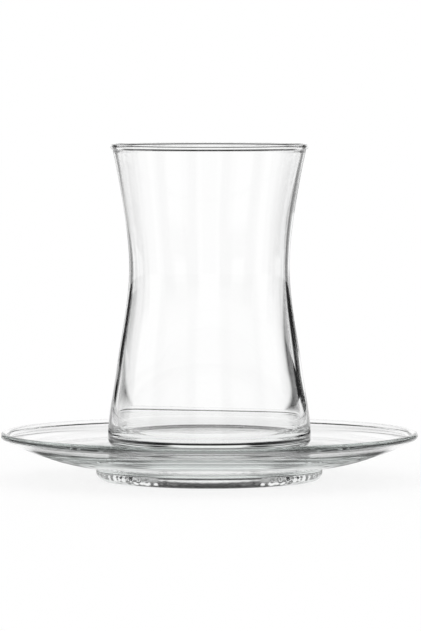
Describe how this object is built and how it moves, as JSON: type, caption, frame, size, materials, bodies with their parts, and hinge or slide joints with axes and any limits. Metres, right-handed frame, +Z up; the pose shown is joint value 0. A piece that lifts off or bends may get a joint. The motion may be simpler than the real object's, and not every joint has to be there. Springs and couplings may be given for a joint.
{
  "type": "turkish tea glass on its saucer",
  "caption": "Clear waisted glass tumbler for tea, standing on its matching shallow clear glass saucer with a foot ring.",
  "frame": {"origin": "on the axis of the saucer and the tumbler, on the face that the saucer's foot ring stands on", "axes": "+Z up along the axis of both turned pieces; X and Y are free, since both pieces are round"},
  "size_m": [0.11, 0.11, 0.0886],
  "materials": {
    "tumbler_glass": "clear fire-polished pressed glass, smooth and glossy, faintly grey-green where it is thick",
    "saucer_glass": "clear pressed glass, smooth and glossy, faintly grey-green where it is thick"
  },
  "bodies": {
    "root": {"tea_glass": "tumbler_glass", "saucer": "saucer_glass"}
  },
  "joints": []
}
